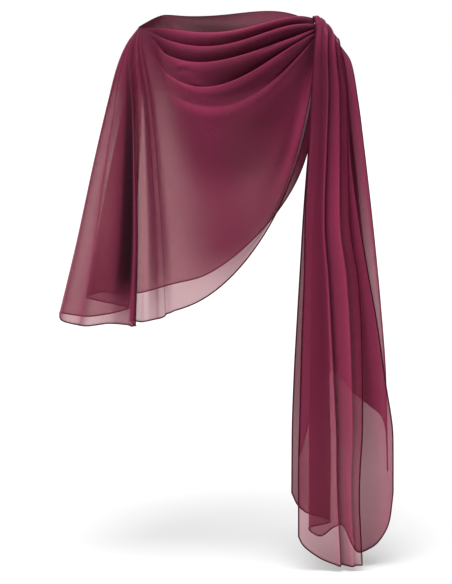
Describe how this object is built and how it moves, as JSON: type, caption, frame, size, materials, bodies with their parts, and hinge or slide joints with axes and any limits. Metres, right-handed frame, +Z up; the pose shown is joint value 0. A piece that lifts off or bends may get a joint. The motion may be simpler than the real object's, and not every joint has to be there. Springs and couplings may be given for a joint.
{
  "type": "chiffon cape",
  "caption": "Sheer wine-coloured chiffon cape draped round the shoulders, knotted on the left shoulder, with long loose ends.",
  "frame": {"origin": "midway between the wearer's shoulders, at the height where the cloth rests on them", "axes": "+Z up, -Y the way the wearer faces, +X towards the wearer's left, where the knot is"},
  "size_m": [0.6319, 0.2701, 1.0256],
  "materials": {
    "chiffon": "sheer, matt, plain weave"
  },
  "bodies": {
    "root": {"drape_front": "chiffon", "drape_arm": "chiffon", "drape_back": "chiffon", "knot": "chiffon", "tail_front": "chiffon", "tail_back": "chiffon", "tail_under": "chiffon"}
  },
  "joints": []
}
